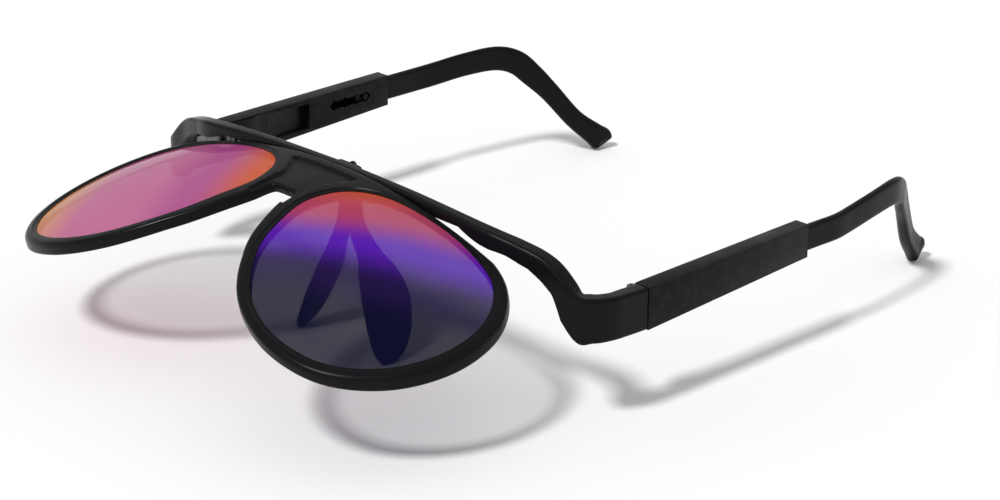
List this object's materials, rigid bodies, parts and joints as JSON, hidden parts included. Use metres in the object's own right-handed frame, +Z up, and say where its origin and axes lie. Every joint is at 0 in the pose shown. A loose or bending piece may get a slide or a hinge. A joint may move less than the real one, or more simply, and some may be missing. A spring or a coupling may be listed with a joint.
{
  "type": "flip-up sunglasses",
  "caption": "Black plastic sunglasses whose tinted lens front flips up from a slim brow bar, with folding temples, sliding ear tips and a forked nose piece.",
  "frame": {"origin": "on the table under the middle of the opened glasses, halfway from the front rims to the ear tips and from side to side", "axes": "+X to the wearer's left, along the brow bar; +Y from the lenses back to the ear tips; +Z up from the table"},
  "size_m": [0.1386, 0.1824, 0.042],
  "materials": {
    "black_plastic": "satin",
    "lens_tint": "mirrored gradient from orange to violet over grey",
    "steel": "satin"
  },
  "bodies": {
    "frame": {"brow_frame": "black_plastic", "nose_piece": "black_plastic", "nose_screw": "steel", "flip_leaf_frame": "steel", "flip_pin": "steel", "flip_click_spring": "steel", "hinge_leaf_front_left": "steel", "hinge_rivets_front_left": "steel", "hinge_screw_left": "steel", "hinge_leaf_front_right": "steel", "hinge_rivets_front_right": "steel", "hinge_screw_right": "steel"},
    "flip_unit": {"lens_frame": "black_plastic", "lens_left": "lens_tint", "lens_right": "lens_tint", "flip_leaf_lens": "steel", "flip_rivets": "steel"},
    "temple_left": {"temple_sleeve_left": "black_plastic", "hinge_leaf_temple_left": "steel", "hinge_rivets_temple_left": "steel"},
    "temple_right": {"temple_sleeve_right": "black_plastic", "hinge_leaf_temple_right": "steel", "hinge_rivets_temple_right": "steel"},
    "rod_left": {"temple_rod_left": "black_plastic", "slide_stud_left": "black_plastic"},
    "rod_right": {"temple_rod_right": "black_plastic", "slide_stud_right": "black_plastic"}
  },
  "joints": [
    {"name": "flip_hinge", "type": "hinge", "parent": "frame", "child": "flip_unit", "pos_m": [0, -0.04287, 0.038], "axis": [1, 0, 0], "range_deg": [0, 76]},
    {"name": "temple_fold_left", "type": "hinge", "parent": "frame", "child": "temple_left", "pos_m": [-0.0646, -0.01987, 0.0237], "axis": [0, 0, -1], "range_deg": [0, 90]},
    {"name": "temple_fold_right", "type": "hinge", "parent": "frame", "child": "temple_right", "pos_m": [0.0646, -0.01987, 0.0237], "axis": [0, 0, 1], "range_deg": [0, 80]},
    {"name": "rod_slide_left", "type": "slide", "parent": "temple_left", "child": "rod_left", "axis": [0, 1, 0], "range_m": [-0.0099, 0]},
    {"name": "rod_slide_right", "type": "slide", "parent": "temple_right", "child": "rod_right", "axis": [0, 1, 0], "range_m": [-0.0099, 0]}
  ]
}
